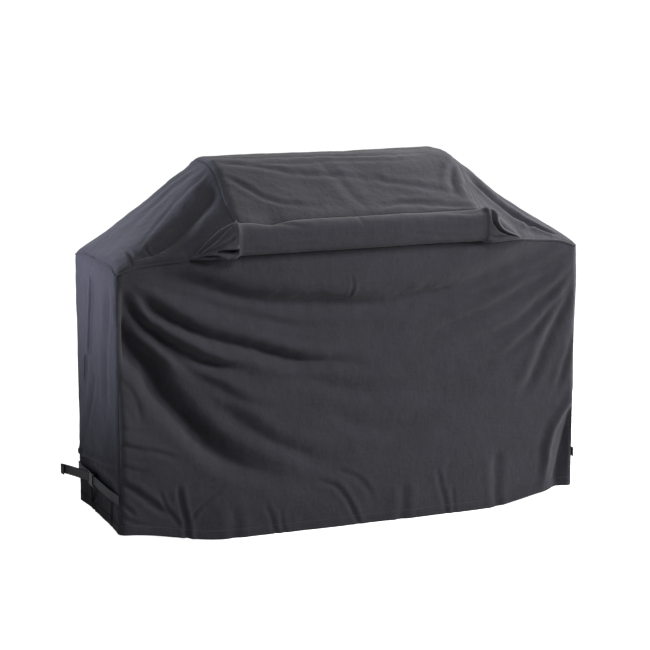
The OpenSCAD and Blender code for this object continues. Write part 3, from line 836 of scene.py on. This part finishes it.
def shoulder_front(s):
    x = mix(half_w - turn_of(corner_round), gusset_x, np.clip(s / foot_share, 0, 1))
    up = np.asarray(s)[..., None]
    low = front_rest(x, front_top(x))
    high = mix(gusset_foot, hood_edge(0), np.clip((up - foot_share) / (1 - foot_share), 0, 1))
    return np.where(up < foot_share, low, high)


def shoulder_rear(s):
    x = mix(half_w - turn_of(corner_round), hood_x, s)
    return mix(rear_rest(-x, rear_top(x)), hood_edge(1), ease(s * 5 - 4)[..., None])


def right_shoulder_rest(a, b):
    """Straight lines from the shelf to the hood, bent near the front and rear to meet their seams. a runs
    from front to rear and b from the shelf's edge up to the hood."""
    t = np.clip(a / shoulder_w + 0.5, 0, 1)
    s = np.clip(b / shoulder_l, 0, 1)

    def taut(shelf_share, hood_share):
        return mix(shelf_edge(shelf_share), hood_edge(hood_share), s[..., None])

    bend = (shoulder_front(s) - taut(0.0, 0.0)) * ((1 - t) ** 3)[..., None]
    bend += (shoulder_rear(s) - taut(1.0, 1.0)) * (t ** 3)[..., None]
    sag = shoulder_sag * 16 * s * (1 - s) * t * (1 - t)
    sag -= (shelf_arc(shelf_lap) * (1 - s) - shelf_arc(shelf_lap + b)) * ease(t / 0.12) * ease((1 - t) / 0.12)
    return taut(spread(t), t) + bend - sag[..., None] * np.array([0, 0, 1])


def shoulder_held(a, b):
    t = np.clip(a / shoulder_w + 0.5, 0, 1)
    return seam_hold(t * 0.5, (1 - t) * 0.5, b, shoulder_l - b)


right_shoulder_folds = [
    ([(-0.13, 0.43), (-0.17, 0.32), (-0.20, 0.18), (-0.21, 0.06)], 0.026, 0.012, 0.5, 0.5),
    ([(-0.09, 0.43), (-0.10, 0.30), (-0.13, 0.14)], 0.016, 0.006, 0.5, 0.5),
    ([(-0.05, 0.43), (-0.04, 0.28), (-0.05, 0.10)], 0.018, 0.005, 0.5, 0.5),
    ([(0.03, 0.42), (0.05, 0.28), (0.06, 0.10)], 0.02, 0.006, 0.5, 0.5),
    ([(0.12, 0.42), (0.15, 0.26), (0.17, 0.10)], 0.024, 0.007, 0.5, 0.5),
    ([(-0.27, 0.30), (-0.23, 0.22), (-0.16, 0.15)], 0.014, 0.005, 0.5, 0.5),
]
left_shoulder_folds = [
    # the deep valley beside the hood's front corner, and the bumps at its foot
    ([(0.15, 0.445), (0.165, 0.36), (0.185, 0.27), (0.20, 0.17), (0.21, 0.05)], 0.05, 0.02, 0.35, 0.15),
    ([(0.26, 0.20), (0.20, 0.14), (0.15, 0.13), (0.12, 0.16)], 0.01, 0.004, 0.5, 0.6),
    ([(0.27, 0.07), (0.20, 0.06), (0.12, 0.075), (0.03, 0.06)], 0.012, 0.003, 0.5, 0.5),
    # wrinkles that fan out from the hood's crest
    ([(0.105, 0.445), (0.115, 0.36), (0.13, 0.27), (0.15, 0.17), (0.155, 0.10)], 0.018, 0.0012, 0.7, 0.3),
    ([(0.08, 0.445), (0.07, 0.34), (0.08, 0.22), (0.11, 0.12)], 0.015, 0.002, 0.6, 0.4),
    ([(0.04, 0.445), (0.00, 0.32), (-0.01, 0.19), (0.02, 0.10)], 0.02, 0.0025, 0.5, 0.5),
    ([(0.005, 0.44), (-0.055, 0.30), (-0.06, 0.16)], 0.018, 0.002, 0.5, 0.5),
    ([(-0.08, 0.44), (-0.14, 0.29), (-0.15, 0.12)], 0.024, 0.005, 0.5, 0.5),
]
right_shoulder_surface = drape(right_shoulder_rest, right_shoulder_folds, shoulder_held, 0.003)
left_shoulder_surface = drape(mirrored(right_shoulder_rest), left_shoulder_folds, shoulder_held, 0.003)

gusset_w = 0.16


def right_gusset_rest(a, b):
    """a runs from the pocket's end, at 0, out to the gusset's foot, and b up the pocket's end. The spare
    cloth of the gathers swells out between the seams."""
    s = np.clip(1 - a / gusset_w, 0, 1)[..., None]
    up = np.clip(b / pocket_path.length, 0, 1)[..., None]
    swell = 0.022 * np.sin(math.pi * s ** 0.8) * np.sin(math.pi * up)
    flat = mix(gusset_foot, pocket_rest(hood_x - turn_of(pocket_round(b)), b), s)
    return flat + swell * np.array([0.3, -1, 0.1])


def gusset_held(a, b):
    narrow = 1 - np.abs(a) / gusset_w
    return seam_hold(b, pocket_path.length - b) * ease(np.abs(a) / 0.01) * ease(narrow / 0.25)


right_gusset_folds = [
    # the edge that zigzags down from the pocket's corner
    ([(-0.01, 0.15), (0.016, 0.128), (0.01, 0.10), (0.034, 0.076), (0.08, 0.06), (0.15, 0.07)],
     0.008, 0.013, 0.7, 0.2),
    ([(0.0, 0.045), (0.04, 0.05), (0.09, 0.058)], 0.008, 0.006, 0.5, 0.5),
]
left_gusset_folds = [
    # the deep tuck from the pocket's upper corner down to the shelf
    ([(0.01, 0.14), (-0.03, 0.128), (-0.08, 0.115), (-0.15, 0.10)], 0.01, 0.014, 0.4, 0.8),
    ([(0.0, 0.098), (-0.05, 0.088), (-0.12, 0.08)], 0.008, 0.006, 0.5, 0.5),
    # the pinch that gapes beside the pocket
    ([(0.012, 0.05), (-0.012, 0.05), (-0.034, 0.056), (-0.085, 0.064)], 0.011, 0.03, 0.35, 0.35),
    ([(-0.03, 0.028), (-0.07, 0.045), (-0.13, 0.06)], 0.008, 0.007, 0.5, 0.5),
]
right_gusset_surface = drape(right_gusset_rest, right_gusset_folds, gusset_held, 0.001)
left_gusset_surface = drape(mirrored(right_gusset_rest), left_gusset_folds, gusset_held, 0.001)


def shoulder_layout(u, v):
    return mix(-0.5, 0.5, u) * shoulder_w, mix(0, 1, v) * shoulder_l


def right_gusset_layout(u, v):
    return mix(0, gusset_w * 0.99, u), mix(0, pocket_path.length, v)


def left_gusset_layout(u, v):
    return -mix(gusset_w * 0.99, 0, u), mix(0, pocket_path.length, v)


for side, shoulder, gusset, gusset_layout in (
    ("right", right_shoulder_surface, right_gusset_surface, right_gusset_layout),
    ("left", left_shoulder_surface, left_gusset_surface, left_gusset_layout),
):
    panel = cut_cloth(f"{side}_shoulder_cloth", 112, 80, shoulder_layout, shoulder)
    sew_in(panel, f"{side}_shoulder_panel", cover_cloth)
    gather = cut_cloth(f"{side}_gusset_cloth", 60, 60, gusset_layout, gusset)
    sew_in(gather, f"{side}_pocket_gusset", cover_cloth)

# The hems. The lower edge of each panel is folded up twice and sewn with one
# line of stitching, so the hem is thicker than the cloth above it.

hem_cloth = coated_polyester("folded_polyester_hem", "#1d1c22")
hem_thickness = 0.0024
hem_stand_off = 0.0005


def hem_layout(across, foot):
    return lambda u, v: (across(u), foot(across(u)) + hem_h * v)


hems = (
    ("front", front_columns, hem_layout(front_x, hem_z), front_surface, 1.54),
    ("rear", rear_columns, hem_layout(rear_x, hem_z), rear_surface, 1.54),
    ("right", side_columns, hem_layout(side_y, side_foot), right_side_surface, 0.46),
    ("left", side_columns, hem_layout(side_y, side_foot), left_side_surface, 0.46),
)
for end, columns, layout, surface, length in hems:
    hem = cut_cloth(f"{end}_hem_cloth", columns, 5, layout, surface, hem_stand_off, hem_thickness)
    sew_in(hem, f"{end}_hem", hem_cloth)

# The piped seams. A cord wrapped in the cover's cloth is sewn into the seam
# between the centre strip and each side, and a thinner one along the shelf's
# outer edge.

piping_cloth = coated_polyester("polyester_wrapped_piping", "#1c1b20")


def seam_line():
    """The right-hand seam: up the front corner, along the shelf and gusset, over the hood, down the rear.
    Each point's fourth value is its share of the cord's radius: the cord shows most along the shelf."""
    climb = np.linspace(0, 1, 60)[:, None]
    sunk = corner_round * (1 - math.sqrt(0.5)) + 0.0015
    front_corner = np.array([half_w - sunk, -half_d + sunk, hem_rise])
    rear_corner = np.array([half_w - sunk, half_d - sunk, hem_rise])
    top = np.array([0, 0, shelf_h - corner_fall - 0.001 - hem_rise])
    stretches = (
        (front_corner + top * climb, 0.5),
        (shoulder_front(np.linspace(0.02, foot_share, 40)), 0.9),
        (shoulder_front(np.linspace(foot_share + 0.02, 0.98, 12)), 0.7),
        (hood_edge(np.linspace(0, 1, 90)) - np.array([0, 0, 0.0015]), 0.4),
        (shoulder_rear(np.linspace(0.98, 0.02, 50)), 0.7),
        (rear_corner + top * climb[::-1], 0.5),
    )
    return np.vstack([np.column_stack([part, np.full(len(part), share)]) for part, share in stretches])


def pipe(name, line, radius):
    """A round cord of cloth along a line of points. A point's fourth value is its share of the radius."""
    data = bpy.data.curves.new(name, "CURVE")
    data.dimensions = "3D"
    data.bevel_depth = radius
    data.bevel_resolution = 3
    data.use_fill_caps = True
    spline = data.splines.new("POLY")
    spline.points.add(len(line) - 1)
    shares = line[:, 3] if line.shape[1] == 4 else np.ones(len(line))
    shares = np.convolve(np.pad(shares, 4, mode="edge"), np.ones(9) / 9, "valid")
    for point, place, share in zip(spline.points, line, shares):
        point.co = (*place[:3], 1)
        point.radius = share
    spline.use_smooth = True
    curve = bpy.data.objects.new(name, data)
    mesh = bpy.data.meshes.new_from_object(curve)
    mesh.name = name
    bpy.data.objects.remove(curve)
    if mesh.uv_layers:
        mesh.uv_layers[0].name = "cloth"
    else:
        mesh.uv_layers.new(name="cloth")
    return put_in_scene(name, mesh)


def wavering(line, amount):
    """The line with each point moved a little, as a sewn cord never lies quite straight."""
    moved = np.array(line, float)
    moved[:, :3] += amount * np.array([
        [noise.noise(Vector(p[:3]) / 0.07 + Vector((9 * k, 0, 0))) for k in range(3)] for p in line
    ])
    return moved


seam = seam_line()
for side, sign in (("right", 1), ("left", -1)):
    edge = shelf_edge(np.linspace(0.02, 0.98, 60))
    for name, node, line, radius in (
        (f"{side}_piping_cord", f"{side}_seam_piping", seam, 0.0042),
        (f"{side}_binding_cord", f"{side}_shelf_binding", edge, 0.0020),
    ):
        flipped = line * np.array([sign] + [1] * (line.shape[1] - 1))
        cord = pipe(name, wavering(flipped, 0.0012), radius)
        cord.data.materials.append(piping_cloth)
        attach(cord, "cover")
        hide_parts(node)

# The straps. Ribbed polypropylene webbing, sewn flat to the side panel's ends.
# The front strap is sewn in a loop round the socket's bar. The rear one ends at
# the clip's bar, and the tail turns round it and has its tip folded back.

webbing_w = 0.030
webbing_t = 0.0015
socket_low, socket_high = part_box("right_buckle_socket")
middle_x = (socket_low[0] + socket_high[0]) / 2
bar_inset = 0.0035
socket_bar_y = socket_low[1] + bar_inset
clip_bar_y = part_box("right_buckle_clip")[1][1] - bar_inset
bar_turn = 0.0023
sewn_x = middle_x - 0.0045


def ribbed_webbing():
    """Black polypropylene webbing with crosswise ribs 1.2 mm apart."""
    material, tree, shader = new_material("ribbed_polypropylene_webbing")
    place = add_node(tree, "UVMap", (-900, 0), {"uv_map": "cloth"})
    ribs = add_node(
        tree, "TexWave", (-680, -200), {"wave_type": "BANDS", "bands_direction": "X"},
        Vector=place.outputs[0], Scale=bands(0.0012),
    )
    lanes = add_node(
        tree, "TexWave", (-680, -460), {"wave_type": "BANDS", "bands_direction": "Y"},
        Vector=place.outputs[0], Scale=bands(0.005),
    )
    woven = add_node(
        tree, "Math", (-460, -300), {"operation": "ADD"}, i0=ribs.outputs["Fac"], i1=lanes.outputs["Fac"],
    )
    wear = add_node(tree, "TexNoise", (-680, 200), Vector=place.outputs[0], Scale=60.0, Detail=4.0)
    tone = add_node(tree, "ValToRGB", (-460, 200), i0=wear.outputs["Fac"])
    tone.color_ramp.elements[0].color = linear("#0b0b0e")
    tone.color_ramp.elements[1].color = linear("#151518")
    bump = add_node(tree, "Bump", (-240, -200), Strength=0.5, Distance=0.0004, Height=woven.outputs[0])
    dress(tree, shader, tone.outputs["Color"], bump.outputs[0], 0.55)
    return material


webbing = ribbed_webbing()


def round_bar(bar_y, start, end):
    """Points [y, out] where webbing turns round a bar, from one angle to another. 90 degrees is outwards."""
    angles = np.radians(np.linspace(start, end, 13))
    reach = bar_turn + webbing_t
    return np.column_stack([bar_y + reach * np.cos(angles), middle_x + reach * np.sin(angles)])


def strap(side, part, line, body, droop=0.0):
    """Webbing along a line of [y, out] points on its outer face, as wide as the strap across it."""
    path = Path(line)
    columns = max(round(path.length / 0.003), 8)
    sign = 1 if side == "right" else -1

    def layout(u, v):
        return u * path.length, (v - 0.5) * webbing_w

    def surface(a, b, _):
        point = path.point(a)
        sink = droop * (a / path.length) ** 2
        return points_of(sign * point[:, 1], point[:, 0], strap_h + sign * b - sink)

    piece = cut_cloth(f"{side}_{part}_webbing", columns, 6, layout, surface, thickness=webbing_t)
    node = f"{side}_strap_tail" if part == "tail" else f"{side}_{part}_strap"
    sew_in(piece, node, webbing, body=body)
    return piece


outer_x = middle_x + webbing_t
inner_x = middle_x - webbing_t
flat_x = middle_x - bar_turn
end_y = 0.220
front_line = np.vstack([
    [(-end_y, sewn_x), (-0.205, sewn_x), (-0.145, outer_x), (socket_bar_y - 0.007, outer_x)],
    round_bar(socket_bar_y, 110, -110),
    [(socket_bar_y - 0.007, inner_x), (socket_bar_y - 0.045, inner_x)],
])
rear_line = np.array([(clip_bar_y + 0.001, flat_x), (0.175, flat_x), (0.205, sewn_x), (end_y, sewn_x)])
tip_y = clip_bar_y + 0.163
tail_x = middle_x + bar_turn
level_tail = np.vstack([
    round_bar(clip_bar_y, 270, 90),
    [(tip_y, tail_x + webbing_t), (tip_y + 0.002, tail_x + 2 * webbing_t),
     (tip_y, tail_x + 3 * webbing_t), (tip_y - 0.020, tail_x + 3 * webbing_t)],
]) - [clip_bar_y, middle_x]
lean = math.radians(15)
leaning = np.array([[math.cos(lean), math.sin(lean)], [-math.sin(lean), math.cos(lean)]])
tail_line = level_tail @ leaning + [clip_bar_y, middle_x]

for side in ("right", "left"):
    strap(side, "front", front_line, "cover")
    rear_strap = strap(side, "rear", rear_line, "cover")
    strap(side, "tail", tail_line, f"{side}_tail", droop=0.010)
    bpy.context.view_layer.update()
    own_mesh(rear_strap)

# The side-release buckles. Moulded black acetal: a socket on the front strap,
# and a clip on the rear one whose two sprung prongs lock behind its mouth.


def moulded_acetal():
    """Black acetal as it leaves a spark-eroded mould: even, finely grained, with a dull gloss."""
    material, tree, shader = new_material("moulded_black_acetal")
    body = add_node(tree, "TexCoord", (-900, 0))
    grain = add_node(tree, "TexNoise", (-680, -200), Vector=body.outputs["Object"], Scale=1800.0, Detail=2.0)
    cloud = add_node(tree, "TexNoise", (-680, 100), Vector=body.outputs["Object"], Scale=90.0, Detail=3.0)
    tone = add_node(tree, "ValToRGB", (-460, 100), i0=cloud.outputs["Fac"])
    tone.color_ramp.elements[0].color = linear("#121214")
    tone.color_ramp.elements[1].color = linear("#1a1a1c")
    bump = add_node(tree, "Bump", (-240, -200), Strength=0.3, Distance=0.0001, Height=grain.outputs["Fac"])
    dress(tree, shader, tone.outputs["Color"], bump.outputs[0], 0.42)
    return material


acetal = moulded_acetal()
for side in ("right", "left"):
    for part in ("buckle_socket", "buckle_clip", "upper_prong", "lower_prong"):
        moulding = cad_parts[f"{side}_{part}"]
        moulding.data.materials.clear()
        moulding.data.materials.append(acetal)
        soft_edge = moulding.modifiers.new("soft_edges", "BEVEL")
        soft_edge.width = 0.0005
        soft_edge.segments = 2
        soft_edge.limit_method = "ANGLE"
